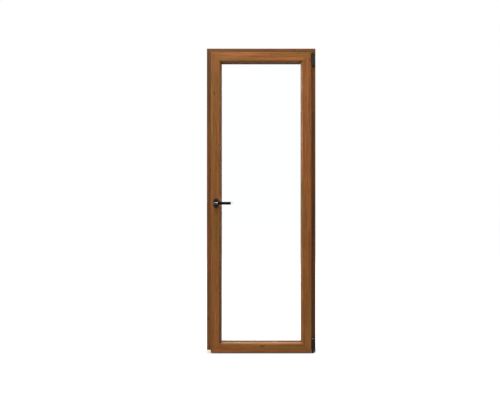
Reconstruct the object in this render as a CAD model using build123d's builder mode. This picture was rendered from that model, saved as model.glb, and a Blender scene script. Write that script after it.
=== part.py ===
"""Side-hung PVC balcony door: a three-sided frame on a low threshold, and a glazed leaf.

Millimetres. X runs to the right as seen from the room, Y runs outdoors and Z runs up. The origin is
on the floor, under the middle of the frame and at half its depth. The leaf is shut.
"""

import os

from build123d import *

# Frame: outside size and profile depth, then the profile from its wall side inwards
frame_width = 750
frame_height = 2100
frame_depth = 70
frame_face = 37.5
flange_reach = 22.5
flange_thickness = 17
flange_bevel = 5
edge_radius = 2

# Grooves along the frame: two clip grooves on the wall side, a drain channel in the rebate
clip_groove_width = 6
clip_groove_depth = 4
clip_groove_offset = 24
drain_channel_width = 11
drain_channel_depth = 3

# Holes for the frame anchors, through the jambs and the head
anchor_radius = 5
anchor_y = -7
anchor_end_distance = 250
anchor_inner_distance = 780
head_anchor_distance = 200

# Threshold: two aluminium rails on either side of a plastic core, and the blocks under the jambs
threshold_height = 18
core_width = 16
core_drop = 1
outer_step = 3
outer_fall = 4
rib_width = 1.5
rib_depth = 0.8
rib_pitch = 4
inner_rib_count = 5
outer_rib_count = 3
foot_thickness = 8

# Leaf: gaps to the frame, then the sash profile from its lip edge inwards
seal_gap = 5
rebate_air = 12
floor_gap = 5
sash_depth = 70
lip_reach = 20
lip_radius = 4
sash_face = 56.5
bead_width = 13.5
glass_flange = 15
nose_radius = 4

# Lock groove round the edge of the sash
groove_distance = 13
faceplate_width = 16
faceplate_thickness = 3
rod_width = 12
rod_depth = 7
faceplate_play = 0.2
faceplate_end_distance = 70

# Glazing bead
bead_setback = 0.5
bead_flat = 3
bead_nose = 3
bead_bulge = 1.5
bead_foot_width = 4
bead_foot_depth = 5
bead_foot_play = 0.3
bead_foot_distance = 9

# Double glazing and its gaskets
pane_thickness = 4
pane_gap = 16
spacer_width = 6
spacer_inset = 1.5
glass_play = 3
outer_glazing_seal = 4
inner_glazing_seal = 3
glazing_seal_width = 9
glazing_seal_show = 0.5

# Gaskets between the leaf and the frame
gasket_width = 5
gasket_radius = 2
gasket_clearance = 0.3
gasket_root_width = 3
gasket_root_depth = 2
gasket_root_play = 0.1
sash_gasket_distance = 4
flange_gasket_distance = 5
bottom_seal_width = 24
bottom_seal_thickness = 2
bottom_lip_width = 2
bottom_lip_distance = 8

# Drain slots in the outdoor face of the bottom rail
drain_slot_length = 28
drain_slot_height = 5
drain_slot_depth = 6
drain_slot_distance = 150
drain_slot_rise = 26

# Lock cams on the leaf and keeps on the frame
cam_count = 4
cam_end_distance = 230
cam_neck_radius = 3.5
cam_head_radius = 5
cam_head_sides = 8
cam_reach = 7.5
cam_head_height = 3
keep_plate_thickness = 2.5
keep_plate_width = 18
keep_below_cam = 25
keep_above_cam = 45
keep_hook_start = 12
keep_hook_reach = 9
keep_hook_thickness = 3

# Hinges: barrel, pin and plates
hinge_offset = 10
barrel_radius = 8
barrel_cap = 2.5
barrel_end_wall = 5
pin_radius = 3.5
pin_end_play = 0.5
pin_press_play = 0.05
pin_running_play = 0.08
knuckle_gap = 0.5
hinge_plate_thickness = 3
band_thickness = 4
band_flange_depth = 22
bearing_width = 22
cover_width = 9
cover_gap = 0.5
cover_rise = 12
cover_bevel = 3
top_hinge_drop = 34
top_hinge_height = 86
top_knuckle_height = 23
bottom_hinge_rise = 2
bottom_hinge_height = 96
bottom_knuckle_height = 26
bottom_plate_rise = 9

# Handle
handle_backset = 15.5
handle_height = 1032
rosette_height = 64
rosette_width = 34
rosette_thickness = 9
rosette_bevel = 2.5
collar_radius = 12.5
collar_thickness = 2
neck_radius = 11
neck_length = 6
bend_width = 20
bend_outer_radius = 16
bend_inner_radius = 7
grip_length = 106
grip_height = 19
grip_thickness = 13
grip_tip_thickness = 10
grip_tip_radius = 4.5
grip_bevel = 3.5
grip_standoff = 46
turn_gap = 0.4
spindle_size = 7
spindle_reach = 32
spindle_hole_radius = 6

# Planes of the profiles, along Y
frame_room_y = -frame_depth / 2
frame_outer_y = frame_depth / 2
flange_y = frame_outer_y - flange_thickness
sash_outer_y = flange_y - seal_gap
sash_room_y = sash_outer_y - sash_depth
lip_back_y = frame_room_y - seal_gap
lip_thickness = lip_back_y - sash_room_y
groove_y = lip_back_y + groove_distance
glass_flange_y = sash_outer_y - glass_flange
outer_pane_y = glass_flange_y - outer_glazing_seal
inner_pane_y = outer_pane_y - pane_thickness - pane_gap
bead_back_y = inner_pane_y - pane_thickness - inner_glazing_seal
bead_front_y = sash_room_y + bead_setback
bead_foot_y = bead_front_y + bead_foot_distance

# Outlines of the leaf, seen from the room
lip_inset = frame_face + rebate_air - lip_reach
sash_left = -frame_width / 2 + lip_inset
sash_right = frame_width / 2 - lip_inset
sash_bottom = floor_gap
sash_top = frame_height - lip_inset
sash_middle = (sash_bottom + sash_top) / 2
sight_inset = sash_face + bead_width
glass_inset = sash_face + glass_play
flange_edge = frame_face + flange_reach
jamb_bottom = threshold_height + foot_thickness

# Hinge axis, and the point where the handle turns
hinge_x = sash_right + hinge_offset
hinge_y = (sash_room_y + lip_back_y) / 2
handle_x = sash_left + lip_reach + handle_backset

LOW = (Align.MIN, Align.MIN)


def save(piece, name):
    """Labels a finished piece and writes it to its own file."""
    piece.part.label = name
    export_step(piece.part, f"parts/{name}.step")


def facing_room(y):
    """Plane at depth y, seen from the room: x right, y up."""
    return Plane.XZ.offset(-y)


def sides(left, right, bottom, top):
    """Plane and length of each side of an outline: x points inwards, y outdoors, z along the bar."""
    middle_x = (left + right) / 2
    middle_z = (bottom + top) / 2
    width = right - left
    height = top - bottom
    return {
        "left": (Plane((left, 0, middle_z), x_dir=(1, 0, 0), z_dir=(0, 0, 1)), height),
        "right": (Plane((right, 0, middle_z), x_dir=(-1, 0, 0), z_dir=(0, 0, -1)), height),
        "bottom": (Plane((middle_x, 0, bottom), x_dir=(0, 0, 1), z_dir=(-1, 0, 0)), width),
        "top": (Plane((middle_x, 0, top), x_dir=(0, 0, -1), z_dir=(1, 0, 0)), width),
    }


def bar(section, side, mitred_ends=(-1, 1)):
    """Bar of a section along one side of an outline, with 45 degree cuts at its mitred ends."""
    plane, length = side
    with BuildPart() as piece:
        with BuildSketch(plane):
            add(section.sketch)
        extrude(amount=length / 2, both=True)
        for end in mitred_ends:
            corner = plane.from_local_coords((0, 0, end * length / 2))
            mitre = Plane(corner, z_dir=plane.x_dir + plane.z_dir * end)
            split(bisect_by=mitre, keep=Keep.BOTTOM)
    return piece


def round_corner(section, corner, radius):
    """Rounds the corner of a section that is nearest to a point."""
    fillet(section.vertices().sort_by_distance((*corner, 0))[0], radius)


def gasket_section(distance, seat_y, outdoors):
    """Gasket seated on a face: a rounded body across the seal gap and a root in the face's groove."""
    height = seal_gap - gasket_clearance
    tip_y = seat_y + outdoors * height
    with BuildSketch() as section:
        with Locations((distance, seat_y + outdoors * height / 2)):
            Rectangle(gasket_width, height)
        for edge in (-1, 1):
            round_corner(section, (distance + edge * gasket_width / 2, tip_y), gasket_radius)
        with Locations((distance, seat_y)):
            root_width = gasket_root_width - 2 * gasket_root_play
            root_depth = 2 * (gasket_root_depth - gasket_root_play)
            Rectangle(root_width, root_depth)
    return section


def plate_section(first, second):
    """Rectangular section between two corner points."""
    with BuildSketch() as section:
        with Locations(first):
            Rectangle(second[0] - first[0], second[1] - first[1], align=LOW)
    return section


def closed_loop(bars):
    """One piece from bars that meet at mitred corners."""
    with BuildPart() as piece:
        for length in bars:
            add(length.part)
    return piece


def barrel(low, high, capped_ends):
    """Stretch of hinge barrel, drawn in at its capped ends: -1 is the lower one, 1 the upper."""
    with BuildPart() as piece:
        with BuildSketch(Plane.XY.offset(low)):
            with Locations((hinge_x, hinge_y)):
                Circle(barrel_radius)
        extrude(amount=high - low)
        for end in capped_ends:
            rims = piece.edges().filter_by(GeomType.CIRCLE).sort_by(Axis.Z)
            chamfer(rims[0] if end < 0 else rims[-1], barrel_cap)
    return piece


def hinge_rod(low, high, radius):
    """Round rod on the hinge axis, for the pin and for the bores that take it."""
    with BuildPart() as piece:
        with BuildSketch(Plane.XY.offset(low)):
            with Locations((hinge_x, hinge_y)):
                Circle(radius)
        extrude(amount=high - low)
    return piece


os.makedirs("parts", exist_ok=True)

# Frame bars
with BuildSketch() as frame_section:
    with Locations((0, frame_room_y)):
        Rectangle(frame_face, frame_depth, align=LOW)
    with Locations((frame_face, flange_y)):
        Rectangle(flange_reach, flange_thickness, align=LOW)
    chamfer(frame_section.vertices().sort_by_distance((flange_edge, frame_outer_y, 0))[0], flange_bevel)
    round_corner(frame_section, (0, frame_room_y), edge_radius)
    round_corner(frame_section, (frame_face, frame_room_y), edge_radius)
    round_corner(frame_section, (flange_edge, flange_y), edge_radius)
    round_corner(frame_section, (0, frame_outer_y), edge_radius)
    with Locations((0, -clip_groove_offset), (0, clip_groove_offset)):
        Rectangle(2 * clip_groove_depth, clip_groove_width, mode=Mode.SUBTRACT)
    with Locations((frame_face, flange_y - drain_channel_width / 2 - edge_radius)):
        Rectangle(2 * drain_channel_depth, drain_channel_width, mode=Mode.SUBTRACT)
    with Locations((flange_edge - flange_gasket_distance, flange_y)):
        Rectangle(gasket_root_width, 2 * gasket_root_depth, mode=Mode.SUBTRACT)

frame_sides = sides(-frame_width / 2, frame_width / 2, jamb_bottom, frame_height)
frame_ends = {"left": (1,), "right": (-1,), "top": (-1, 1)}
anchor_heights = [
    anchor_end_distance,
    anchor_inner_distance,
    frame_height - anchor_inner_distance,
    frame_height - anchor_end_distance,
]

for jamb_name, side_name in (("frame_lock_jamb", "left"), ("frame_hinge_jamb", "right")):
    jamb_x = frame_sides[side_name][0].origin.X
    with BuildPart() as jamb:
        add(bar(frame_section, frame_sides[side_name], frame_ends[side_name]).part)
        with BuildSketch(Plane.YZ.offset(jamb_x)):
            with Locations(*[(anchor_y, height) for height in anchor_heights]):
                Circle(anchor_radius)
        extrude(amount=frame_face, both=True, mode=Mode.SUBTRACT)
    save(jamb, jamb_name)

with BuildPart() as frame_head:
    add(bar(frame_section, frame_sides["top"]).part)
    with BuildSketch(Plane.XY.offset(frame_height)):
        head_anchor_x = frame_width / 2 - head_anchor_distance
        with Locations((-head_anchor_x, anchor_y), (head_anchor_x, anchor_y)):
            Circle(anchor_radius)
    extrude(amount=-frame_face, mode=Mode.SUBTRACT)
save(frame_head, "frame_head")

frame_gasket = gasket_section(flange_edge - flange_gasket_distance, flange_y, -1)
seal_sides = sides(-frame_width / 2, frame_width / 2, threshold_height, frame_height)
frame_seal = closed_loop([bar(frame_gasket, seal_sides[name], frame_ends[name]) for name in frame_ends])
save(frame_seal, "frame_seal")

# Threshold, ribbed along its top
with BuildPart() as threshold_inner_rail:
    with BuildSketch(Plane.YZ) as inner_rail_section:
        with Locations((frame_room_y, 0)):
            Rectangle(-core_width / 2 - frame_room_y, threshold_height, align=LOW)
        round_corner(inner_rail_section, (frame_room_y, threshold_height), edge_radius)
        inner_rail_middle = (frame_room_y - core_width / 2) / 2
        with Locations((inner_rail_middle, threshold_height)):
            with GridLocations(rib_pitch, 1, inner_rib_count, 1):
                Rectangle(rib_width, 2 * rib_depth, mode=Mode.SUBTRACT)
    extrude(amount=frame_width / 2, both=True)
save(threshold_inner_rail, "threshold_inner_rail")

with BuildPart() as threshold_core:
    with BuildSketch(Plane.YZ):
        with Locations((-core_width / 2, 0)):
            Rectangle(core_width, threshold_height - core_drop, align=LOW)
    extrude(amount=frame_width / 2, both=True)
save(threshold_core, "threshold_core")

step_top = threshold_height - outer_step
with BuildPart() as threshold_outer_rail:
    with BuildSketch(Plane.YZ):
        with BuildLine():
            Polyline(
                (core_width / 2, 0),
                (frame_outer_y, 0),
                (frame_outer_y, step_top - outer_fall),
                (flange_y, step_top),
                (flange_y, threshold_height),
                (core_width / 2, threshold_height),
                close=True,
            )
        make_face()
        with Locations(((core_width / 2 + flange_y) / 2, threshold_height)):
            with GridLocations(rib_pitch, 1, outer_rib_count, 1):
                Rectangle(rib_width, 2 * rib_depth, mode=Mode.SUBTRACT)
    extrude(amount=frame_width / 2, both=True)
save(threshold_outer_rail, "threshold_outer_rail")

foot_sides = sides(-frame_width / 2, frame_width / 2, threshold_height, jamb_bottom)
for foot_name, side_name, inwards in (("lock_jamb_foot", "left", 1), ("hinge_jamb_foot", "right", -1)):
    with BuildPart() as jamb_foot:
        add(bar(frame_section, foot_sides[side_name], ()).part)
        with BuildSketch(Plane.YZ.offset(foot_sides[side_name][0].origin.X)):
            with BuildLine():
                Polyline(
                    (flange_y, step_top),
                    (frame_outer_y, step_top - outer_fall),
                    (frame_outer_y, threshold_height),
                    (flange_y, threshold_height),
                    close=True,
                )
            make_face()
        extrude(amount=inwards * flange_edge)
    save(jamb_foot, foot_name)

# Sash bars
with BuildSketch() as sash_section:
    with Locations((0, sash_room_y)):
        Rectangle(sash_face, lip_thickness, align=LOW)
    with Locations((lip_reach, sash_room_y)):
        Rectangle(sash_face - lip_reach, sash_depth, align=LOW)
    with Locations((lip_reach, glass_flange_y)):
        Rectangle(sight_inset - lip_reach, glass_flange, align=LOW)
    round_corner(sash_section, (0, sash_room_y), lip_radius)
    round_corner(sash_section, (0, lip_back_y), edge_radius / 2)
    round_corner(sash_section, (sash_face, sash_room_y), edge_radius / 2)
    round_corner(sash_section, (lip_reach, sash_outer_y), edge_radius)
    round_corner(sash_section, (sight_inset, sash_outer_y), nose_radius)
    round_corner(sash_section, (sight_inset, glass_flange_y), edge_radius / 2)
    with Locations((lip_reach, groove_y)):
        Rectangle(2 * faceplate_thickness, faceplate_width, mode=Mode.SUBTRACT)
        Rectangle(2 * (faceplate_thickness + rod_depth), rod_width, mode=Mode.SUBTRACT)
    with Locations((sash_face, bead_foot_y)):
        foot_slot = bead_foot_width + 2 * bead_foot_play
        Rectangle(2 * (bead_foot_depth + bead_foot_play), foot_slot, mode=Mode.SUBTRACT)
    with Locations((sash_gasket_distance, lip_back_y)):
        Rectangle(gasket_root_width, 2 * gasket_root_depth, mode=Mode.SUBTRACT)

sash_sides = sides(sash_left, sash_right, sash_bottom, sash_top)
top_hinge_top = frame_height - top_hinge_drop
top_hinge_bottom = top_hinge_top - top_hinge_height
bottom_hinge_top = bottom_hinge_rise + bottom_hinge_height
hinge_spans = {
    "top_hinge": (
        top_hinge_bottom + top_knuckle_height + knuckle_gap,
        top_hinge_top - top_knuckle_height - knuckle_gap,
    ),
    "bottom_hinge": (bottom_hinge_rise + bottom_knuckle_height + knuckle_gap, bottom_hinge_top),
}

save(bar(sash_section, sash_sides["top"]), "sash_top_rail")

with BuildPart() as sash_bottom_rail:
    add(bar(sash_section, sash_sides["bottom"]).part)
    slot_x = sash_right - drain_slot_distance
    with BuildSketch(facing_room(sash_outer_y)):
        with Locations((-slot_x, sash_bottom + lip_reach + drain_slot_rise)):
            SlotOverall(drain_slot_length, drain_slot_height)
        with Locations((slot_x, sash_bottom + lip_reach + drain_slot_rise)):
            SlotOverall(drain_slot_length, drain_slot_height)
    extrude(amount=drain_slot_depth, mode=Mode.SUBTRACT)
save(sash_bottom_rail, "sash_bottom_rail")

with BuildPart() as sash_lock_stile:
    add(bar(sash_section, sash_sides["left"]).part)
    with BuildSketch(facing_room(sash_room_y)):
        with Locations((handle_x, handle_height)):
            Circle(spindle_hole_radius)
    extrude(amount=-spindle_reach - turn_gap, mode=Mode.SUBTRACT)
save(sash_lock_stile, "sash_lock_stile")

with BuildPart() as sash_hinge_stile:
    add(bar(sash_section, sash_sides["right"]).part)
    for low, high in hinge_spans.values():
        with BuildSketch(Plane.XY.offset(low)):
            with Locations((sash_right - lip_reach, lip_back_y - band_thickness)):
                Rectangle(lip_reach, band_thickness, align=LOW)
        extrude(amount=high - low, mode=Mode.SUBTRACT)
save(sash_hinge_stile, "sash_hinge_stile")

# Glazing beads
with BuildSketch() as bead_section:
    with BuildLine():
        back = Polyline(
            (sight_inset, bead_back_y - bead_nose),
            (sight_inset, bead_back_y),
            (sash_face, bead_back_y),
            (sash_face, bead_front_y),
            (sash_face + bead_flat, bead_front_y),
        )
        SagittaArc(back @ 1, back @ 0, -bead_bulge)
    make_face()
    with Locations((sash_face, bead_foot_y)):
        Rectangle(2 * bead_foot_depth, bead_foot_width)

bead_names = {
    "top": "bead_top",
    "bottom": "bead_bottom",
    "left": "bead_lock_side",
    "right": "bead_hinge_side",
}
for side_name, bead_name in bead_names.items():
    save(bar(bead_section, sash_sides[side_name]), bead_name)

# Double glazing unit
glass_width = sash_right - sash_left - 2 * glass_inset
glass_height = sash_top - sash_bottom - 2 * glass_inset
for pane_name, pane_y in (("glass_outer_pane", outer_pane_y), ("glass_inner_pane", inner_pane_y)):
    with BuildPart() as pane:
        with BuildSketch(facing_room(pane_y)):
            with Locations((0, sash_middle)):
                Rectangle(glass_width, glass_height)
        extrude(amount=pane_thickness)
    save(pane, pane_name)

spacer_edge = glass_inset + spacer_inset
spacer_section = plate_section((spacer_edge, inner_pane_y), (spacer_edge + spacer_width, inner_pane_y + pane_gap))
save(closed_loop([bar(spacer_section, side) for side in sash_sides.values()]), "glass_spacer")

seal_edge = sight_inset + glazing_seal_show
inner_seal_section = plate_section(
    (seal_edge - glazing_seal_width, bead_back_y),
    (seal_edge, bead_back_y + inner_glazing_seal),
)
save(closed_loop([bar(inner_seal_section, side) for side in sash_sides.values()]), "glazing_seal_inner")

outer_seal_section = plate_section(
    (seal_edge - glazing_seal_width, outer_pane_y),
    (seal_edge, glass_flange_y),
)
save(closed_loop([bar(outer_seal_section, side) for side in sash_sides.values()]), "glazing_seal_outer")

# Gaskets of the leaf
sash_gasket = gasket_section(sash_gasket_distance, lip_back_y, 1)
save(closed_loop([bar(sash_gasket, side) for side in sash_sides.values()]), "sash_seal")

rebate_bottom = sash_bottom + lip_reach
bottom_seal_length = sash_right - sash_left - 2 * lip_reach
with BuildPart() as bottom_seal:
    with BuildSketch(Plane.YZ):
        with Locations((0, rebate_bottom)):
            Rectangle(bottom_seal_width, bottom_seal_thickness, align=(Align.CENTER, Align.MAX))
        lip_drop = rebate_bottom - threshold_height - gasket_clearance
        with Locations((-bottom_lip_distance, rebate_bottom), (bottom_lip_distance, rebate_bottom)):
            Rectangle(bottom_lip_width, lip_drop, align=(Align.CENTER, Align.MAX))
    extrude(amount=bottom_seal_length / 2, both=True)
save(bottom_seal, "bottom_seal")

# Lock strip in the edge of the lock stile, its cams, and the keeps on the frame
lock_edge_x = sash_left + lip_reach
with BuildPart() as lock_faceplate:
    with BuildSketch(Plane.YZ.offset(lock_edge_x)):
        with Locations((groove_y, sash_middle)):
            strip_length = sash_top - sash_bottom - 2 * faceplate_end_distance
            Rectangle(faceplate_width - 2 * faceplate_play, strip_length)
    extrude(amount=faceplate_thickness)
save(lock_faceplate, "lock_faceplate")

cam_pitch = (sash_top - sash_bottom - 2 * cam_end_distance) / (cam_count - 1)
keep_x = -frame_width / 2 + frame_face
for index in range(cam_count):
    cam_height = sash_bottom + cam_end_distance + index * cam_pitch
    with BuildPart() as lock_cam:
        with BuildSketch(Plane.YZ.offset(lock_edge_x)):
            with Locations((groove_y, cam_height)):
                Circle(cam_neck_radius)
        extrude(amount=-cam_reach)
        with BuildSketch(Plane.YZ.offset(lock_edge_x - cam_reach)):
            with Locations((groove_y, cam_height)):
                RegularPolygon(cam_head_radius, cam_head_sides)
        extrude(amount=cam_head_height)
    save(lock_cam, f"lock_cam_{index + 1}")

    with BuildPart() as lock_keep:
        with BuildSketch(Plane.XY.offset(cam_height - keep_below_cam)):
            with Locations((keep_x, frame_room_y + edge_radius)):
                Rectangle(keep_plate_thickness, keep_plate_width, align=LOW)
        extrude(amount=keep_below_cam + keep_above_cam)
        with BuildSketch(Plane.XY.offset(cam_height + keep_hook_start)):
            with Locations((keep_x, frame_room_y + edge_radius)):
                Rectangle(keep_hook_reach, keep_hook_thickness, align=LOW)
        extrude(amount=keep_above_cam - keep_hook_start)
    save(lock_keep, f"lock_keep_{index + 1}")

# Hinges: bearing, pin and cover on the frame, band on the leaf
bearing_right = hinge_x + barrel_radius + cover_gap + cover_width
web_depth = frame_room_y - hinge_y
frame_knuckles = {
    "top_hinge": [
        (top_hinge_bottom, top_hinge_bottom + top_knuckle_height, (-1,)),
        (top_hinge_top - top_knuckle_height, top_hinge_top, (1,)),
    ],
    "bottom_hinge": [(bottom_hinge_rise, bottom_hinge_rise + bottom_knuckle_height, (-1,))],
}
leaf_caps = {"top_hinge": (), "bottom_hinge": (1,)}
hinge_ends = {
    "top_hinge": (top_hinge_bottom, top_hinge_top),
    "bottom_hinge": (bottom_hinge_rise, bottom_hinge_top),
}
plate_lows = {"top_hinge": top_hinge_bottom, "bottom_hinge": bottom_plate_rise}
for hinge_name, (hinge_low, hinge_high) in hinge_ends.items():
    bore_low = hinge_low + barrel_end_wall
    bore_high = hinge_high - barrel_end_wall
    plate_low = plate_lows[hinge_name]
    with BuildPart() as bearing:
        with BuildSketch(Plane.XY.offset(plate_low)):
            with Locations((bearing_right, frame_room_y)):
                Rectangle(bearing_width, hinge_plate_thickness, align=(Align.MAX, Align.MAX))
        extrude(amount=hinge_high - plate_low)
        for low, high, capped_ends in frame_knuckles[hinge_name]:
            add(barrel(low, high, capped_ends).part)
            web_low = max(low + barrel_cap, plate_low)
            web_high = min(high, hinge_high - barrel_cap)
            with BuildSketch(Plane.XY.offset(web_low)):
                with Locations((hinge_x, frame_room_y)):
                    Rectangle(barrel_radius, web_depth, align=(Align.MIN, Align.MAX))
            extrude(amount=web_high - web_low)
        add(hinge_rod(bore_low, bore_high, pin_radius + pin_press_play).part, mode=Mode.SUBTRACT)
    save(bearing, f"{hinge_name}_bearing")

    save(hinge_rod(bore_low + pin_end_play, bore_high - pin_end_play, pin_radius), f"{hinge_name}_pin")

    with BuildPart() as cover:
        with BuildSketch(Plane.XY.offset(plate_low)):
            with Locations((bearing_right, frame_room_y - hinge_plate_thickness)):
                Rectangle(cover_width, cover_rise, align=(Align.MAX, Align.MAX))
        extrude(amount=hinge_high - plate_low)
        chamfer(cover.faces().sort_by(Axis.Y)[0].edges(), cover_bevel)
    save(cover, f"{hinge_name}_cover")

    band_low, band_high = hinge_spans[hinge_name]
    with BuildPart() as band:
        with BuildSketch(Plane.XY.offset(band_low)):
            with Locations((sash_right - lip_reach, lip_back_y - band_thickness)):
                Rectangle(lip_reach + hinge_offset, band_thickness, align=LOW)
                Rectangle(hinge_plate_thickness, band_thickness + band_flange_depth, align=LOW)
            with Locations((sash_right - sash_gasket_distance, lip_back_y)):
                Rectangle(gasket_root_width, 2 * gasket_root_depth, mode=Mode.SUBTRACT)
        extrude(amount=band_high - band_low - (barrel_cap if leaf_caps[hinge_name] else 0))
        add(barrel(band_low, band_high, leaf_caps[hinge_name]).part)
        add(hinge_rod(bore_low, bore_high, pin_radius + pin_running_play).part, mode=Mode.SUBTRACT)
    save(band, f"{hinge_name}_band")

# Handle: rosette on the leaf, lever and spindle that turn in it
with BuildPart() as handle_rosette:
    with BuildSketch(facing_room(sash_room_y)):
        with Locations((handle_x, handle_height)):
            SlotOverall(rosette_height, rosette_width, rotation=90)
    extrude(amount=rosette_thickness)
    chamfer(handle_rosette.faces().sort_by(Axis.Y)[0].edges(), rosette_bevel)
    with BuildSketch(facing_room(sash_room_y - rosette_thickness)):
        with Locations((handle_x, handle_height)):
            Circle(collar_radius)
    extrude(amount=collar_thickness)
    with BuildSketch(facing_room(sash_room_y)):
        with Locations((handle_x, handle_height)):
            Circle(spindle_hole_radius)
    extrude(amount=rosette_thickness + collar_thickness, mode=Mode.SUBTRACT)
save(handle_rosette, "handle_rosette")

lever_root_y = sash_room_y - rosette_thickness - collar_thickness - turn_gap
grip_front_y = sash_room_y - grip_standoff - grip_thickness / 2
grip_back_y = grip_front_y + grip_thickness
bend_left = handle_x - bend_width / 2
bend_right = handle_x + bend_width / 2
grip_tip_x = handle_x + grip_length
with BuildPart() as handle_lever:
    with BuildSketch(Plane.XY.offset(handle_height)) as lever_plan:
        with BuildLine():
            Polyline(
                (bend_left, lever_root_y - neck_length),
                (bend_left, grip_front_y),
                (grip_tip_x, grip_front_y),
                (grip_tip_x, grip_front_y + grip_tip_thickness),
                (bend_right, grip_back_y),
                (bend_right, lever_root_y - neck_length),
                close=True,
            )
        make_face()
        round_corner(lever_plan, (bend_left, grip_front_y), bend_outer_radius)
        round_corner(lever_plan, (bend_right, grip_back_y), bend_inner_radius)
        round_corner(lever_plan, (grip_tip_x, grip_front_y), grip_tip_radius)
        round_corner(lever_plan, (grip_tip_x, grip_front_y + grip_tip_thickness), grip_tip_radius)
    extrude(amount=grip_height / 2, both=True)
    rims = handle_lever.faces().sort_by(Axis.Z)
    chamfer(rims[0].edges() + rims[-1].edges(), grip_bevel)
    with BuildSketch(facing_room(lever_root_y)):
        with Locations((handle_x, handle_height)):
            Circle(neck_radius)
    extrude(amount=neck_length)
save(handle_lever, "handle_lever")

with BuildPart() as handle_spindle:
    with BuildSketch(facing_room(lever_root_y)):
        with Locations((handle_x, handle_height)):
            Rectangle(spindle_size, spindle_size)
    extrude(amount=lever_root_y - sash_room_y - spindle_reach)
save(handle_spindle, "handle_spindle")
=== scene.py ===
# %% [markdown]
# # A wood-foiled PVC balcony door
#
# The solids of the door come in as a fixed frame, in metres: +X to the right as seen from the room,
# +Y outdoors, +Z up. This lesson gives them their finishes, adds the small fittings that are too fine
# for the solids, and sets up the studio in which the door is looked at.

# %% Load the frame
import math

import bmesh
import bpy
from mathutils import Matrix, Vector


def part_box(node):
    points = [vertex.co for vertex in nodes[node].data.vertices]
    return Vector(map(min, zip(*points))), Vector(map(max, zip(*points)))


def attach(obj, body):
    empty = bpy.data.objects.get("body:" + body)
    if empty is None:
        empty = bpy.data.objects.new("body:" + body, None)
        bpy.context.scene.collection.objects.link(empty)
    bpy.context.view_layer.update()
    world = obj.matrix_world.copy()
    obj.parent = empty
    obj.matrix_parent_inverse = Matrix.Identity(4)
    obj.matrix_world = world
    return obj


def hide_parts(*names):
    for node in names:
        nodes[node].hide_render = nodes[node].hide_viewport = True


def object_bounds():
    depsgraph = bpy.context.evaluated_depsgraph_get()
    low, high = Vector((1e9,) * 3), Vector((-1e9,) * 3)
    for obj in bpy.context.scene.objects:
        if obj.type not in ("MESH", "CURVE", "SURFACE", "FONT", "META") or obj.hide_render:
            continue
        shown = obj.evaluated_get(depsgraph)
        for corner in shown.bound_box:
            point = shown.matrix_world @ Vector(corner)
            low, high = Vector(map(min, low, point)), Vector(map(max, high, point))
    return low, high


MM = 0.001
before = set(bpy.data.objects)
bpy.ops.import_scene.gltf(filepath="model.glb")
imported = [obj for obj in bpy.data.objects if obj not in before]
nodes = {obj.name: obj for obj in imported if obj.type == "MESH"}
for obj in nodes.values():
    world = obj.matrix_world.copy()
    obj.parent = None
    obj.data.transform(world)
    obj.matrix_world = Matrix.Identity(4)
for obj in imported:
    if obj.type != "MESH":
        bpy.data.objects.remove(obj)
cad_low, cad_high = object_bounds()
scene = bpy.context.scene
print("nodes", len(nodes), "door size", [round(v, 4) for v in cad_high - cad_low])

# %% [markdown]
# ## Camera
#
# The picture was taken straight on: the sides of the door stay parallel and the two jambs are equally
# wide. A camera that looks along +Y without any tilt gives that. Its distance shows in how much larger
# the leaf, which stands 22 mm nearer, looks than the frame. The lens follows from the distance and from
# how many pixels one metre of the frame covers.

# %% Camera at the height of the picture's middle
IMAGE_WIDTH = 500
PIXELS_PER_METRE = 144.8
frame_room_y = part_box("frame_head")[0].y
camera_distance = 3.8
camera_x = 0.1
camera_height = 1.054
door_middle_pixel = 261.17

camera_data = bpy.data.cameras.new("camera")
camera_data.sensor_width = 36.0
camera_data.lens = PIXELS_PER_METRE * camera_data.sensor_width * camera_distance / IMAGE_WIDTH
shift_pixels = door_middle_pixel - IMAGE_WIDTH / 2 + camera_x * PIXELS_PER_METRE
camera_data.shift_x = -shift_pixels / IMAGE_WIDTH
camera = bpy.data.objects.new("camera", camera_data)
camera.location = (camera_x, frame_room_y - camera_distance, camera_height)
camera.rotation_euler = (math.radians(90), 0, 0)
scene.collection.objects.link(camera)
scene.camera = camera
scene.view_settings.view_transform = "Standard"
print("lens", round(camera_data.lens, 2), "shift", round(camera_data.shift_x, 4))

# %% [markdown]
# ## Helpers for node materials
#
# Every finish here is a small node tree on one Principled shader. The helpers keep the cells short: they
# start a material, add a node with its values and links, and lay noise, a colour ramp or a bump.

# %% Helpers for node materials
def start_material(name):
    material = bpy.data.materials.new(name)
    material.use_nodes = True
    return material, material.node_tree.nodes["Principled BSDF"]


def add_node(material, kind, inputs=None, **settings):
    tree = material.node_tree
    node = tree.nodes.new(kind)
    for key, value in settings.items():
        setattr(node, key, value)
    for key, value in (inputs or {}).items():
        if isinstance(value, bpy.types.NodeSocket):
            tree.links.new(value, node.inputs[key])
        else:
            node.inputs[key].default_value = value
    return node


def connect(material, socket, target):
    material.node_tree.links.new(socket, target)


def object_coordinates(material):
    return add_node(material, "ShaderNodeTexCoord").outputs["Object"]


def stretched(material, scale, offset=(0, 0, 0)):
    coordinates = object_coordinates(material)
    return add_node(
        material, "ShaderNodeMapping", {"Vector": coordinates, "Scale": scale, "Location": offset}
    ).outputs["Vector"]


def noise(material, vector, scale, detail, **inputs):
    values = {"Vector": vector, "Scale": scale, "Detail": detail, **inputs}
    return add_node(material, "ShaderNodeTexNoise", values).outputs["Fac"]


def math_node(material, operation, first, second=0.0):
    node = add_node(material, "ShaderNodeMath", {0: first, 1: second}, operation=operation)
    return node.outputs["Value"]


def ramp(material, factor, stops):
    node = add_node(material, "ShaderNodeValToRGB", {"Fac": factor})
    elements = node.color_ramp.elements
    while len(elements) < len(stops):
        elements.new(0.5)
    for element, (position, colour) in zip(elements, stops):
        element.position = position
        element.color = (*colour, 1.0)
    return node.outputs["Color"]


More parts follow.
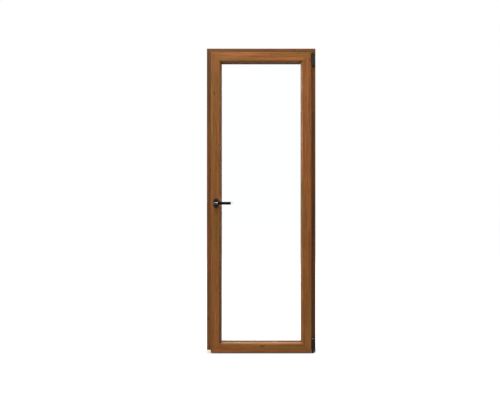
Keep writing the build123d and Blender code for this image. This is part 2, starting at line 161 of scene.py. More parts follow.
def grey(value):
    return (value, value, value)


def add_bump(material, shader, height, strength, distance):
    bump = add_node(
        material, "ShaderNodeBump", {"Height": height, "Strength": strength, "Distance": distance}
    )
    connect(material, bump.outputs["Normal"], shader.inputs["Normal"])


def set_surface(material, socket):
    connect(material, socket, material.node_tree.nodes["Material Output"].inputs["Surface"])


def dress(material, *names):
    for name in names:
        slots = nodes[name].data.materials
        slots.clear()
        slots.append(material)


# %% [markdown]
# ## Wood-grain foil
#
# The PVC bars are wrapped in a printed, lightly embossed foil that imitates oak. The print runs along
# each bar, so it meets at 45 degrees in the mitred corners. The foil is built up from stretched noise:
# broad streaks that drift from olive to reddish brown, softer flames, thin growth lines, short pores,
# and a few small knots that come from a cell texture. The tone differs from bar to bar, and the frame
# bars are darker than the sash; the lighter top rail and lower bead and the darker upper bead are
# painted light and shade. Towards the foot the hinge jamb and the side beads get darker, a painted
# shade, and the lock jamb lighter, a painted light. The lines and pores are pressed into the foil, so
# the same noise drives the bump. Where two bars are welded, a fine groove is cut along the mitre and
# painted darker. It lies on the plane where the distances to the two outer edges are equal.

# %% Distance to the mitres
def mitre_groove(material, corner_nodes, both_ends):
    """Grey factor that drops on the mitre planes of the outline round these nodes."""
    lows, highs = zip(*[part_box(name) for name in corner_nodes])
    bottom, top = min(low.z for low in lows), max(high.z for high in highs)
    half_width = max(high.x for high in highs)
    split = add_node(material, "ShaderNodeSeparateXYZ", {"Vector": object_coordinates(material)})

    def combine(operation, first, second=0.0):
        return math_node(material, operation, first, second)

    from_side = combine("SUBTRACT", half_width, combine("ABSOLUTE", split.outputs["X"]))
    if both_ends:
        from_middle = combine("ABSOLUTE", combine("SUBTRACT", split.outputs["Z"], (bottom + top) / 2))
        from_end = combine("SUBTRACT", (top - bottom) / 2, from_middle)
    else:
        from_end = combine("SUBTRACT", top, split.outputs["Z"])
    distance = combine("ABSOLUTE", combine("SUBTRACT", from_side, from_end))
    groove_reach = 2 * MM
    share = combine("DIVIDE", distance, groove_reach)
    return ramp(material, share, [(0.25, grey(0.72)), (0.6, grey(1.0))])


# %% Wood-grain foil
def wood_foil(name, along, shift, tone, painted_foot_shading, gloss, corner_nodes, both_ends):
    """Foil whose grain runs along one axis: 0 for bars that lie, 2 for bars that stand."""
    material, shader = start_material(name)

    def grain_vector(across_scale, along_scale):
        scale = [across_scale] * 3
        scale[along] = along_scale
        return stretched(material, scale, shift)

    def grain(across_scale, along_scale, detail, **inputs):
        vector = grain_vector(across_scale, along_scale)
        return noise(material, vector, scale=1.0, detail=detail, **inputs)

    def shaded(colour, shade):
        return add_node(
            material, "ShaderNodeMix", {"Factor": 1.0, "A": colour, "B": shade},
            data_type="RGBA", blend_type="MULTIPLY",
        ).outputs["Result"]

    streaks = grain(17.0, 1.0, detail=2.5, Roughness=0.5, Distortion=0.4)
    colour = ramp(material, streaks, [
        (0.34, [v * tone for v in (0.200, 0.090, 0.0160)]),
        (0.45, [v * tone for v in (0.242, 0.096, 0.0190)]),
        (0.56, [v * tone for v in (0.272, 0.089, 0.0215)]),
        (0.70, [v * tone for v in (0.335, 0.124, 0.0320)]),
    ])
    flames = grain(55.0, 3.2, detail=4.0, Roughness=0.55, Distortion=1.3)
    colour = shaded(colour, ramp(
        material, flames, [(0.34, grey(0.80)), (0.5, grey(1.0)), (0.68, grey(1.16))]
    ))
    lines = grain(210.0, 3.0, detail=3.0, Roughness=0.6, Distortion=0.5)
    colour = shaded(colour, ramp(
        material, lines, [(0.36, grey(0.66)), (0.48, grey(1.0)), (0.7, grey(1.08))]
    ))
    pores = grain(1050.0, 17.0, detail=2.0, Roughness=0.5)
    colour = shaded(colour, ramp(material, pores, [(0.34, grey(0.58)), (0.43, grey(1.0))]))
    knots = add_node(
        material, "ShaderNodeTexVoronoi", {"Vector": grain_vector(13.0, 5.0), "Scale": 1.0}
    ).outputs["Distance"]
    knot_rim = (1.12, 1.06, 1.0)
    colour = shaded(colour, ramp(
        material, knots, [(0.02, grey(0.42)), (0.075, grey(0.62)), (0.11, knot_rim), (0.17, grey(1.0))]
    ))
    colour = shaded(colour, mitre_groove(material, corner_nodes, both_ends))
    # Painted shade and light: towards the foot the colour is multiplied by a factor that darkens some
    # bars and lightens others.
    if painted_foot_shading != 1.0:
        split = add_node(material, "ShaderNodeSeparateXYZ", {"Vector": object_coordinates(material)})
        height_share = math_node(material, "DIVIDE", split.outputs["Z"], cad_high.z)
        colour = shaded(colour, ramp(
            material, height_share, [(0.1, grey(painted_foot_shading)), (0.9, grey(1.0))]
        ))
    connect(material, colour, shader.inputs["Base Color"])

    roughness = ramp(material, flames, [(0.3, grey(0.50)), (0.7, grey(0.40))])
    connect(material, roughness, shader.inputs["Roughness"])
    relief = math_node(material, "ADD", lines, pores)
    add_bump(material, shader, relief, strength=0.22, distance=0.5 * MM)
    shader.inputs["Specular IOR Level"].default_value = gloss
    return material


LYING, STANDING = 0, 2
SASH_BARS = ("sash_top_rail", "sash_bottom_rail", "sash_lock_stile", "sash_hinge_stile")
FRAME_BARS = ("frame_head", "frame_lock_jamb", "frame_hinge_jamb")
BAR_GLOSS, BEAD_GLOSS = 0.15, 0.18
# Each bar: direction of the grain, place in the pattern, tone, and what multiplies the tone at the foot.
# The foot factor is painted shade below 1 and painted light above 1.
foils = {
    "frame_head": (LYING, (3.1, 0.0, 1.7), 0.56, 1.0),
    "frame_lock_jamb": (STANDING, (0.4, 0.0, 5.2), 0.345, 1.8),
    "frame_hinge_jamb": (STANDING, (7.3, 0.0, 2.6), 0.56, 0.42),
    # Painted light: the top rail is lighter than the other sash bars.
    "sash_top_rail": (LYING, (1.3, 0.0, 8.4), 0.97, 1.0),
    "sash_bottom_rail": (LYING, (9.2, 0.0, 4.1), 0.83, 1.0),
    "sash_lock_stile": (STANDING, (5.6, 0.0, 0.9), 0.83, 1.0),
    "sash_hinge_stile": (STANDING, (2.2, 0.0, 7.7), 0.83, 1.0),
    # Painted shade and light: the upper bead is darker and the lower bead lighter.
    "bead_top": (LYING, (6.4, 0.0, 3.3), 0.72, 1.0),
    "bead_bottom": (LYING, (4.9, 0.0, 6.6), 0.98, 1.0),
    "bead_lock_side": (STANDING, (8.1, 0.0, 1.1), 0.96, 0.57),
    "bead_hinge_side": (STANDING, (0.7, 0.0, 9.5), 0.96, 0.65),
}
for name, (along, shift, tone, painted_foot_shading) in foils.items():
    on_frame = name in FRAME_BARS
    corner_nodes = FRAME_BARS if on_frame else SASH_BARS
    gloss = BEAD_GLOSS if name.startswith("bead") else BAR_GLOSS
    foil = wood_foil(f"{name}_foil", along, shift, tone, painted_foot_shading, gloss, corner_nodes, not on_frame)
    dress(foil, name)
print("foiled bars", len(foils))

# %% [markdown]
# ## Black fittings
#
# Rosette, hinges and lever are black, in three degrees of gloss: the rosette and the hinge covers have
# the soft gloss of powder coat, the grip is nearly matt, and the elbow of the lever is polished smooth.
# One function makes all three. A very fine noise in the roughness and bump gives the orange peel of
# powder coat, and the polished one has hardly any of it.

# %% Black fittings
def black_fitting(name, gloss, roughness, peel):
    material, shader = start_material(name)
    cloud = noise(material, object_coordinates(material), scale=420.0, detail=3.0)
    colour = ramp(material, cloud, [(0.3, grey(0.002)), (0.7, grey(0.005))])
    connect(material, colour, shader.inputs["Base Color"])
    uneven = ramp(material, cloud, [(0.3, grey(roughness - 0.04)), (0.7, grey(roughness + 0.04))])
    connect(material, uneven, shader.inputs["Roughness"])
    shader.inputs["Specular IOR Level"].default_value = gloss
    add_bump(material, shader, cloud, strength=peel, distance=0.4 * MM)
    return material


black_hardware = black_fitting("black_hardware", gloss=0.16, roughness=0.32, peel=0.08)
black_grip = black_fitting("black_grip", gloss=0.03, roughness=0.42, peel=0.08)
black_gloss = black_fitting("black_gloss", gloss=0.55, roughness=0.16, peel=0.01)
dress(
    black_hardware, "handle_lever", "handle_rosette",
    "top_hinge_bearing", "top_hinge_cover", "top_hinge_band",
    "bottom_hinge_bearing", "bottom_hinge_cover", "bottom_hinge_band",
)

# %% [markdown]
# ## Metal, rubber and plastic
#
# The threshold rails are drawn aluminium, so their fine lines run along X. The lock strip, its cams and
# keeps are zinc-plated steel with the cloudy look of passivated zinc. The gaskets that close the door are
# matt black rubber, those round the glass are dark brown, and the spacer between the panes is dark too,
# so that it hides behind the beads. The core and the feet of the threshold are moulded brown plastic.

# %% Metal, rubber and plastic
def drawn_metal(name, dark, light, roughness, scale):
    material, shader = start_material(name)
    lines = noise(material, stretched(material, scale), scale=1.0, detail=4.0)
    connect(material, ramp(material, lines, [(0.3, dark), (0.7, light)]), shader.inputs["Base Color"])
    uneven = ramp(material, lines, [(0.3, grey(roughness + 0.08)), (0.7, grey(roughness - 0.06))])
    connect(material, uneven, shader.inputs["Roughness"])
    add_bump(material, shader, lines, strength=0.1, distance=0.3 * MM)
    shader.inputs["Metallic"].default_value = 1.0
    return material


threshold_aluminium = drawn_metal(
    "threshold_aluminium", dark=(0.74, 0.69, 0.56), light=(0.90, 0.85, 0.71), roughness=0.38,
    scale=(3, 900, 900),
)
zinc_steel = drawn_metal(
    "zinc_steel", dark=(0.30, 0.30, 0.28), light=(0.47, 0.46, 0.43), roughness=0.36,
    scale=(120, 120, 30),
)
dress(threshold_aluminium, "threshold_inner_rail", "threshold_outer_rail")
dress(
    zinc_steel, "lock_faceplate", "handle_spindle", "top_hinge_pin", "bottom_hinge_pin",
    *[f"{piece}_{number}" for piece in ("lock_cam", "lock_keep") for number in (1, 2, 3, 4)],
)


def moulded(name, dark, light, roughness, scale, gloss=0.5):
    material, shader = start_material(name)
    cloud = noise(material, object_coordinates(material), scale=scale, detail=4.0)
    connect(material, ramp(material, cloud, [(0.3, dark), (0.7, light)]), shader.inputs["Base Color"])
    uneven = ramp(material, cloud, [(0.3, grey(roughness - 0.06)), (0.7, grey(roughness + 0.06))])
    connect(material, uneven, shader.inputs["Roughness"])
    shader.inputs["Specular IOR Level"].default_value = gloss
    add_bump(material, shader, cloud, strength=0.12, distance=0.3 * MM)
    return material


rubber = moulded("gasket_rubber", grey(0.010), grey(0.022), roughness=0.62, scale=260.0)
brown_rubber = moulded(
    "glazing_rubber", (0.040, 0.021, 0.009), (0.062, 0.033, 0.014), roughness=0.55, scale=260.0
)
lip_rubber = moulded(
    "lip_rubber", (0.052, 0.024, 0.009), (0.082, 0.038, 0.014), roughness=0.6, scale=260.0, gloss=0.1
)
dark_spacer = moulded(
    "dark_spacer", (0.018, 0.012, 0.008), (0.034, 0.023, 0.015), roughness=0.6, scale=900.0
)
brown_plastic = moulded(
    "brown_plastic", (0.045, 0.028, 0.012), (0.075, 0.045, 0.019), roughness=0.5, scale=320.0
)
dress(rubber, "frame_seal", "sash_seal", "bottom_seal")
dress(brown_rubber, "glazing_seal_inner", "glazing_seal_outer")
dress(dark_spacer, "glass_spacer")
dress(brown_plastic, "threshold_core", "lock_jamb_foot", "hinge_jamb_foot")

# %% [markdown]
# ## Clear glass
#
# Two panes of float glass. Light reaches the floor through them, so shadow rays pass straight on, and
# every other ray sees plain glass.

# %% Clear glass
def clear_glass():
    material, shader = start_material("clear_glass")
    film = noise(material, object_coordinates(material), scale=3.0, detail=2.0)
    tint = ramp(material, film, [(0.3, (0.993, 1.0, 0.997)), (0.7, (0.997, 1.0, 0.999))])
    connect(material, tint, shader.inputs["Base Color"])
    shader.inputs["Transmission Weight"].default_value = 1.0
    shader.inputs["Roughness"].default_value = 0.0
    shader.inputs["IOR"].default_value = 1.5
    light_path = add_node(material, "ShaderNodeLightPath")
    clear = add_node(material, "ShaderNodeBsdfTransparent", {"Color": (0.95, 0.97, 0.96, 1.0)})
    mix = add_node(
        material, "ShaderNodeMixShader",
        {0: light_path.outputs["Is Shadow Ray"], 1: shader.outputs["BSDF"], 2: clear.outputs["BSDF"]},
    )
    set_surface(material, mix.outputs["Shader"])
    return material


dress(clear_glass(), "glass_inner_pane", "glass_outer_pane")

# %% [markdown]
# ## Helpers for new pieces
#
# The fittings are small, so the solids keep them plain. Here they are modelled again with the rounded
# edges that catch the light. Each piece is a bmesh that becomes one object at the origin. It rides on the
# body that carries it and takes the finishes it is given.

# %% Helpers for new pieces
def finished_piece(bm, name, materials, body, smooth_below=40):
    bmesh.ops.recalc_face_normals(bm, faces=bm.faces)
    mesh = bpy.data.meshes.new(name)
    bm.to_mesh(mesh)
    bm.free()
    mesh.shade_smooth()
    mesh.set_sharp_from_angle(angle=math.radians(smooth_below))
    for material in materials:
        mesh.materials.append(material)
    piece = bpy.data.objects.new(name, mesh)
    scene.collection.objects.link(piece)
    piece.modifiers.new("even_shading", "WEIGHTED_NORMAL").keep_sharp = True
    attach(piece, body)
    print(name, "faces", len(mesh.polygons))
    return piece


def facing(direction):
    """Turn that points the local +Z of a shape along a direction."""
    return Vector(direction).to_track_quat("Z", "Y").to_matrix().to_4x4()


def round_edges(bm, edges, offset, segments):
    bmesh.ops.bevel(
        bm, geom=edges, offset=offset, segments=segments, profile=0.5, affect="EDGES",
        material=-1, clamp_overlap=True,
    )


def rounded_rod(bm, start, end, radius, rounding, segments=48):
    """Round rod from one point to another, with rounded rims."""
    start, end = Vector(start), Vector(end)
    place = Matrix.Translation((start + end) / 2) @ facing(end - start)
    made = bmesh.ops.create_cone(
        bm, cap_ends=True, cap_tris=False, segments=segments, radius1=radius, radius2=radius,
        depth=(end - start).length, matrix=place,
    )
    rims = [edge for edge in {e for v in made["verts"] for e in v.link_edges}
            if any(len(face.verts) > 4 for face in edge.link_faces)]
    round_edges(bm, rims, rounding, segments=5)


# %% [markdown]
# ## Handle
#
# The lever is one casting: a round neck out of the rosette, an elbow, and a flat grip to the right. A
# sweep along a bent line would pinch at the elbow. It is built here from three simple bodies, joined by
# a Boolean: the neck and the elbow are round rods that cross. The grip starts as a plain tube of unit
# rings, and each ring is then shaped for its place: round where it leaves the elbow, a flat rounded
# oblong further out, and drawn in at the tip. Its section is a superellipse, which is a circle at a
# corner power of 2 and nearly square at 5. The polished elbow shows the bright reflection in the
# picture, while the grip stays black, so each body brings its own finish into the union.

# %% Handle lever
rosette_low, rosette_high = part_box("handle_rosette")
lever_low, lever_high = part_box("handle_lever")
handle_x = (rosette_low.x + rosette_high.x) / 2
handle_z = (rosette_low.z + rosette_high.z) / 2
elbow_radius = 11 * MM
elbow_y = lever_low.y + elbow_radius
LEVER_FINISHES = [black_gloss, black_grip]
GLOSS, SATIN = 0, 1


def loose_object(bm, name, finish):
    mesh = bpy.data.meshes.new(name)
    bmesh.ops.recalc_face_normals(bm, faces=bm.faces)
    for face in bm.faces:
        face.material_index = finish
    bm.to_mesh(mesh)
    bm.free()
    for material in LEVER_FINISHES:
        mesh.materials.append(material)
    part = bpy.data.objects.new(name, mesh)
    scene.collection.objects.link(part)
    return part


def lever_neck():
    bm = bmesh.new()
    rounded_rod(
        bm, (handle_x, lever_high.y, handle_z), (handle_x, elbow_y, handle_z),
        radius=elbow_radius, rounding=0.6 * MM,
    )
    return loose_object(bm, "lever_neck", GLOSS)


def lever_elbow():
    bm = bmesh.new()
    left, right = handle_x - 10 * MM, handle_x + 22 * MM
    thinner_than_neck = 0.998
    rounded_rod(
        bm, (left, elbow_y, handle_z), (right, elbow_y, handle_z),
        radius=elbow_radius * thinner_than_neck, rounding=4 * MM,
    )
    return loose_object(bm, "lever_elbow", GLOSS)


def grip_stations():
    """Places along the grip: x, how flat the section is, its flat depth, and how far it is drawn in."""
    start_in_elbow, blend_start, blend_length = 12 * MM, 19 * MM, 16 * MM
    grip_depth, tip_depth, tip_rounding = 11.5 * MM, 8.5 * MM, 2.4 * MM
    blend_steps, tip_steps = 8, 4
    stations = [(handle_x + start_in_elbow, 0.0, grip_depth, 0.0)]
    for step in range(blend_steps + 1):
        share = step / blend_steps
        flat = share * share * (3 - 2 * share)
        stations.append((handle_x + blend_start + share * blend_length, flat, grip_depth, 0.0))
    for step in range(tip_steps + 1):
        angle = math.radians(90 * step / tip_steps)
        x = lever_high.x - tip_rounding * (1 - math.sin(angle))
        stations.append((x, 1.0, tip_depth, tip_rounding * (1 - math.cos(angle))))
    return stations


def lever_grip():
    bm = bmesh.new()
    stations = grip_stations()
    upright = Matrix.Rotation(math.radians(90), 4, "Y")
    bmesh.ops.create_circle(bm, segments=64, radius=1.0, matrix=upright)
    ring = list(bm.edges)
    for _ in stations[1:]:
        pulled = bmesh.ops.extrude_edge_only(bm, edges=ring)["geom"]
        moved = {v for v in pulled if isinstance(v, bmesh.types.BMVert)}
        ring = [e for e in pulled if isinstance(e, bmesh.types.BMEdge) and moved.issuperset(e.verts)]
        bmesh.ops.translate(bm, verts=list(moved), vec=(1, 0, 0))
    round_half = elbow_radius - 0.1 * MM
    flat_half_height, flat_front = 9.5 * MM, lever_low.y + 1.5 * MM
    for vertex in bm.verts:
        x, flat, depth, inset = stations[round(vertex.co.x)]
        middle_y = elbow_y + flat * (flat_front + depth / 2 - elbow_y)
        half_depth = round_half + flat * (depth / 2 - round_half) - inset
        half_height = round_half + flat * (flat_half_height - round_half) - inset
        corner_power = 2 + 3 * flat
        across, up = (
            math.copysign(abs(v) ** (2 / corner_power), v) for v in (vertex.co.y, vertex.co.z)
        )
        vertex.co = (x, middle_y + half_depth * across, handle_z + half_height * up)
    bmesh.ops.holes_fill(bm, edges=bm.edges, sides=0)
    return loose_object(bm, "lever_grip", SATIN)


def united(parts):
    """Boolean union of loose objects, as a new bmesh without the slivers that a union leaves."""
    base = parts[0]
    for other in parts[1:]:
        join = base.modifiers.new("join", "BOOLEAN")
        join.operation = "UNION"
        join.solver = "EXACT"
        join.object = other
    whole = bmesh.new()
    whole.from_object(base, bpy.context.evaluated_depsgraph_get())
    sliver, speck = 0.05 * MM, 0.01 * MM
    bmesh.ops.remove_doubles(whole, verts=whole.verts, dist=sliver)
    bmesh.ops.dissolve_degenerate(whole, edges=whole.edges, dist=speck)
    for part in parts:
        bpy.data.objects.remove(part)
    return whole


lever_bm = united([lever_neck(), lever_elbow(), lever_grip()])
lever = finished_piece(lever_bm, "lever_casting", LEVER_FINISHES, "handle")
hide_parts("handle_lever")

# %% [markdown]
# ## Rosette
#
# The rosette is an oval cap with a softly rounded front edge and a raised collar round the neck. A circle
# whose upper half is lifted and lower half is dropped gives the oval outline.

# %% Rosette
def rosette_cap():
    bm = bmesh.new()
    half_width = (rosette_high.x - rosette_low.x) / 2
    straight = (rosette_high.z - rosette_low.z) / 2 - half_width
    cap_depth, cap_rounding = 9 * MM, 3 * MM
    collar_radius, collar_rounding, collar_start = 12.5 * MM, 0.9 * MM, rosette_high.y - 6 * MM
    level = 0.001 * MM
    upright = Matrix.Rotation(math.radians(90), 4, "X")
    back = Matrix.Translation((handle_x, rosette_high.y, handle_z)) @ upright
    made = bmesh.ops.create_circle(bm, cap_ends=True, segments=56, radius=half_width, matrix=back)
    upper = [v for v in made["verts"] if v.co.z > handle_z + level]
    lower = [v for v in made["verts"] if v.co.z < handle_z - level]
    bmesh.ops.translate(bm, verts=upper, vec=(0, 0, straight))
    bmesh.ops.translate(bm, verts=lower, vec=(0, 0, -straight))
    pulled = bmesh.ops.extrude_face_region(bm, geom=list(bm.faces))
    front = [v for v in pulled["geom"] if isinstance(v, bmesh.types.BMVert)]
    bmesh.ops.translate(bm, verts=front, vec=(0, -cap_depth, 0))
    rim = [e for e in bm.edges if all(v in front for v in e.verts)]
    round_edges(bm, rim, cap_rounding, segments=6)
    rounded_rod(
        bm, (handle_x, collar_start, handle_z), (handle_x, rosette_low.y, handle_z),
        collar_radius, collar_rounding,
    )
    return bm


rosette = finished_piece(rosette_cap(), "rosette_cap", [black_hardware], "leaf")
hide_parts("handle_rosette")

# %% [markdown]
# ## Screws
#
# Cross-head screws hold the keeps, the lock strip and the threshold. One head is a shallow disc, mostly
# sunk into what it holds, whose top is inset, pulled into the shape of a cross and pushed in.

# %% Screw head
def top_face(bm):
    return max(bm.faces, key=lambda face: face.calc_center_median().z)


def screw_head(radius):
    bm = bmesh.new()
    thickness, middle, rounding = 2 * MM, -0.6 * MM, 0.35 * MM
    cross_inset, cross_depth = radius * 0.3, 0.9 * MM
    bmesh.ops.create_cone(
        bm, cap_ends=True, cap_tris=False, segments=24, radius1=radius, radius2=radius,
        depth=thickness, matrix=Matrix.Translation((0, 0, middle)),
    )
    round_edges(bm, list(top_face(bm).edges), rounding, segments=2)
    cross = top_face(bm)
    bmesh.ops.inset_region(bm, faces=[cross], thickness=cross_inset)
    quarter, half_arm, notch = math.pi / 2, math.radians(20), 0.42
    for vertex in cross.verts:
        angle = math.atan2(vertex.co.y, vertex.co.x) % quarter
        on_arm = min(angle, quarter - angle) < half_arm
        vertex.co.xy *= 1.0 if on_arm else notch
    sunk = bmesh.ops.extrude_discrete_faces(bm, faces=[cross])["faces"][0]
    bmesh.ops.translate(bm, verts=sunk.verts, vec=(0, 0, -cross_depth))
    mesh = bpy.data.meshes.new("screw_head")
    bm.to_mesh(mesh)
    bm.free()
    return mesh


large_head, small_head = screw_head(3.2 * MM), screw_head(2.7 * MM)


def add_mesh(bm, mesh, place, direction):
    """Adds a loose mesh, with its +Z along a direction."""
    before = len(bm.verts)
    bm.from_mesh(mesh)
    bm.verts.ensure_lookup_table()
    turned = Matrix.Translation(Vector(place)) @ facing(direction)
    bmesh.ops.transform(bm, verts=bm.verts[before:], matrix=turned)


# %% Screws
def frame_screws():
    bm = bmesh.new()
    plate_thickness, screw_line, from_bottom, from_top = 2.5 * MM, 11 * MM, 9 * MM, 44 * MM
    for number in (1, 2, 3, 4):
        low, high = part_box(f"lock_keep_{number}")
        for z in (low.z + from_bottom, high.z - from_top):
            add_mesh(bm, large_head, (low.x + plate_thickness, low.y + screw_line, z), (1, 0, 0))
    threshold_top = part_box("threshold_core")[1].z
    outer, inner = 280 * MM, 95 * MM
    for x in (-outer, -inner, inner, outer):
        add_mesh(bm, large_head, (x, 0, threshold_top), (0, 0, 1))
    return bm


def leaf_screws():
    bm = bmesh.new()
    low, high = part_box("lock_faceplate")
    middle_y = (low.y + high.y) / 2
    count, first_share, share_step = 7, 0.045, 0.151
    for step in range(count):
        z = low.z + (first_share + step * share_step) * (high.z - low.z)
        add_mesh(bm, small_head, (low.x, middle_y, z), (-1, 0, 0))
    return bm


finished_piece(frame_screws(), "frame_screws", [zinc_steel], "frame", smooth_below=30)
finished_piece(leaf_screws(), "leaf_screws", [zinc_steel], "leaf", smooth_below=30)

# %% [markdown]
# ## Lips of the glazing gaskets
#
# The gaskets that hold the glass end in a thin soft lip, which shows as a fine dark line round the pane
# on either side. A quad as large as the opening is inset, its middle is taken out, and the ring that is
# left gets its thickness and a rounded inner edge. That gives mitred corners without any joining.

# %% Gasket lips
def gasket_lip(bm, pane_y, outdoors, width):
    """Ring that stands on a pane at depth pane_y, towards the outdoor side (1) or the room (-1)."""
    show, height, rounding, tolerance = 0.5 * MM, 2.4 * MM, 0.6 * MM, 0.1 * MM
    left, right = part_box("bead_lock_side")[1].x + show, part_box("bead_hinge_side")[0].x - show
    bottom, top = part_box("bead_bottom")[1].z + show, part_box("bead_top")[0].z - show
    ring = bmesh.new()
    bmesh.ops.create_grid(ring, x_segments=1, y_segments=1, size=0.5)
    bmesh.ops.scale(ring, verts=ring.verts, vec=(right - left, top - bottom, 1))
    middle = ring.faces[:][0]
    bmesh.ops.inset_region(
        ring, faces=[middle], thickness=width, use_boundary=True, use_even_offset=True
    )
    bmesh.ops.delete(ring, geom=[middle], context="FACES_ONLY")
    pulled = bmesh.ops.extrude_face_region(ring, geom=ring.faces[:])
    raised = [v for v in pulled["geom"] if isinstance(v, bmesh.types.BMVert)]
    bmesh.ops.translate(ring, verts=raised, vec=(0, 0, height))
    inner_x = (right - left) / 2 - width + tolerance
    rim = [e for e in ring.edges if all(v in raised and abs(v.co.x) < inner_x for v in e.verts)]
    round_edges(ring, rim, rounding, segments=3)
    lip = bpy.data.meshes.new("gasket_lip")
    ring.to_mesh(lip)
    ring.free()
    add_mesh(bm, lip, ((left + right) / 2, pane_y, (bottom + top) / 2), (0, outdoors, 0))


def gasket_lips():
    bm = bmesh.new()
    off_glass = 0.05 * MM
    gasket_lip(bm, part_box("glass_inner_pane")[0].y - off_glass, outdoors=-1, width=2.4 * MM)
    gasket_lip(bm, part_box("glass_outer_pane")[1].y + off_glass, outdoors=1, width=0.8 * MM)
    return bm


finished_piece(gasket_lips(), "gasket_lips", [lip_rubber], "leaf")

# %% [markdown]
# ## Pin heads and washer of the hinges
#
# Each hinge turns on a pin whose rounded head shows at the end of the barrel. The heads of the upper
# hinge are capped in black. The lower hinge has a bare steel head, and a thin steel washer between its
# knuckles carries the leaf: they are the light dots on the black barrel in the picture. A head is a short
# disc whose rim is rounded until it is a dome, with a hexagonal socket pressed into it. The washer is a
# disc that is thinner than the gap.

# %% Pin heads and washer
def add_pin_head(bm, place, direction):
    dome = bmesh.new()
    radius, thickness, middle = 4.6 * MM, 3.6 * MM, 0.2 * MM
    rounding, socket_inset, socket_depth = 1.4 * MM, 1.0 * MM, 1.6 * MM
    bmesh.ops.create_cone(
        dome, cap_ends=True, cap_tris=False, segments=36, radius1=radius, radius2=radius,
        depth=thickness, matrix=Matrix.Translation((0, 0, middle)),
    )
    round_edges(dome, list(top_face(dome).edges), rounding, segments=5)
    hexagon = top_face(dome)
    bmesh.ops.inset_region(dome, faces=[hexagon], thickness=socket_inset)
    side, half_side = math.pi / 3, math.pi / 6
    for vertex in hexagon.verts:
        angle = math.atan2(vertex.co.y, vertex.co.x) % side
        vertex.co.xy *= math.cos(half_side) / math.cos(angle - half_side)
    socket = bmesh.ops.extrude_discrete_faces(dome, faces=[hexagon])["faces"][0]
    bmesh.ops.translate(dome, verts=socket.verts, vec=(0, 0, -socket_depth))
    head = bpy.data.meshes.new("pin_head")
    dome.to_mesh(head)
    dome.free()
    add_mesh(bm, head, place, direction)


def hinge_axis(hinge):
    low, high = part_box(f"{hinge}_pin")
    return (low.x + high.x) / 2, (low.y + high.y) / 2


def upper_pin_heads():
    bm = bmesh.new()
    x, y = hinge_axis("top_hinge")
    low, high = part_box("top_hinge_bearing")
    add_pin_head(bm, (x, y, high.z), (0, 0, 1))
    add_pin_head(bm, (x, y, low.z), (0, 0, -1))
    return bm


def carrying_washer():
    bm = bmesh.new()
    thickness, radius, rounding, gap_middle = 0.4 * MM, 8.4 * MM, 0.12 * MM, 0.25 * MM
    x, y = hinge_axis("bottom_hinge")
    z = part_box("bottom_hinge_band")[0].z - gap_middle
    rounded_rod(bm, (x, y, z - thickness / 2), (x, y, z + thickness / 2), radius, rounding)
    return bm


def lower_pin_head():
    bm = bmesh.new()
    x, y = hinge_axis("bottom_hinge")
    add_pin_head(bm, (x, y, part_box("bottom_hinge_band")[1].z), (0, 0, 1))
    return bm


finished_piece(
    upper_pin_heads(), "upper_pin_heads", [black_hardware], "frame", smooth_below=30
)
finished_piece(carrying_washer(), "carrying_washer", [zinc_steel], "frame", smooth_below=30)
finished_piece(lower_pin_head(), "lower_pin_head", [zinc_steel], "leaf", smooth_below=30)

# %% [markdown]
# ## Studio
#
# A white floor under a white sky. What the camera, a mirror or the glass sees of it is plain white, and
# it lights the door only at a plain level. The floor darkens close to the door, partly by its real shadow
# and partly by a painted contact shadow: ambient occlusion darkens its glow, so that the door stands on
# it. A long narrow strip high up on the room's side is the key: its mirror image is the bright line on
# the elbow of the handle, and it lights the lower bead more than the upper one, as the picture shows.
# Soft panels to the left, behind and to the right fill the other sides.

# %% Floor and sky
def seen_directly(tree):
    path = tree.nodes.new("ShaderNodeLightPath")
    total = path.outputs["Is Camera Ray"]
    for name in ("Is Glossy Ray", "Is Transmission Ray"):
        larger = tree.nodes.new("ShaderNodeMath")
        larger.operation = "MAXIMUM"
        tree.links.new(total, larger.inputs[0])
        tree.links.new(path.outputs[name], larger.inputs[1])
        total = larger.outputs["Value"]
    return total


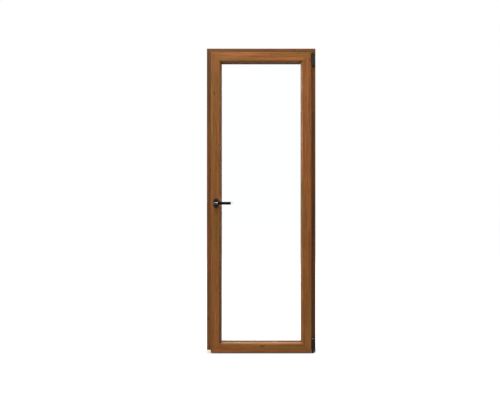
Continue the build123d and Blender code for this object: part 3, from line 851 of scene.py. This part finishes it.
FLOOR_HALF_SIZE = 30
CONTACT_SHADOW = 120 * MM
floor_mesh = bpy.data.meshes.new("floor")
floor_bm = bmesh.new()
bmesh.ops.create_grid(floor_bm, x_segments=2, y_segments=2, size=FLOOR_HALF_SIZE)
floor_bm.to_mesh(floor_mesh)
floor_bm.free()
floor = bpy.data.objects.new("floor", floor_mesh)
scene.collection.objects.link(floor)
floor_material, floor_shader = start_material("pale_floor")
floor_shader.inputs["Base Color"].default_value = (0.4, 0.4, 0.4, 1.0)
floor_shader.inputs["Roughness"].default_value = 0.9
floor_shader.inputs["Specular IOR Level"].default_value = 0.0
# Painted contact shadow: ambient occlusion darkens the floor's glow close to the door.
shade = add_node(floor_material, "ShaderNodeAmbientOcclusion", {"Distance": CONTACT_SHADOW}, samples=8)
glow_with_painted_shadow = ramp(floor_material, shade.outputs["AO"], [(0.0, grey(0.0)), (1.0, grey(0.86))])
glow = add_node(
    floor_material, "ShaderNodeEmission",
    {"Color": glow_with_painted_shadow, "Strength": seen_directly(floor_material.node_tree)},
)
both = add_node(
    floor_material, "ShaderNodeAddShader",
    {0: floor_shader.outputs["BSDF"], 1: glow.outputs["Emission"]},
)
set_surface(floor_material, both.outputs["Shader"])
floor_mesh.materials.append(floor_material)

world = bpy.data.worlds.new("studio_sky")
scene.world = world
world.use_nodes = True
sky = world.node_tree
lighting = sky.nodes["Background"]
lighting.inputs["Color"].default_value = (1.0, 1.0, 1.0, 1.0)
lighting.inputs["Strength"].default_value = 0.36
backdrop = sky.nodes.new("ShaderNodeBackground")
backdrop.inputs["Color"].default_value = (1.0, 1.0, 1.0, 1.0)
backdrop.inputs["Strength"].default_value = 1.0
choose = sky.nodes.new("ShaderNodeMixShader")
sky.links.new(seen_directly(sky), choose.inputs[0])
sky.links.new(lighting.outputs["Background"], choose.inputs[1])
sky.links.new(backdrop.outputs["Background"], choose.inputs[2])
sky.links.new(choose.outputs["Shader"], sky.nodes["World Output"].inputs["Surface"])

# %% Soft panel lights
def soft_panel(name, place, aim, size, power):
    data = bpy.data.lights.new(name, "AREA")
    data.shape = "RECTANGLE"
    data.size, data.size_y = size
    data.energy = power
    panel = bpy.data.objects.new(name, data)
    panel.location = place
    panel.rotation_euler = (Vector(aim) - Vector(place)).to_track_quat("-Z", "Y").to_euler()
    panel.visible_transmission = False
    scene.collection.objects.link(panel)


soft_panel("front_strip", place=(-0.68, -3.1, 5.1), aim=(-0.30, -0.10, 1.03), size=(0.3, 3.0), power=178)
soft_panel("side_panel", place=(-4.0, -3.2, 2.8), aim=(0.0, 0.0, 1.1), size=(1.4, 1.8), power=130)
soft_panel("back_panel", place=(-0.6, 5.0, 3.2), aim=(0.0, 0.0, 1.0), size=(2.4, 1.8), power=185)
soft_panel("right_panel", place=(3.6, 0.25, 2.0), aim=(0.375, 0.0, 1.05), size=(0.5, 1.8), power=80)
print("lights ready")
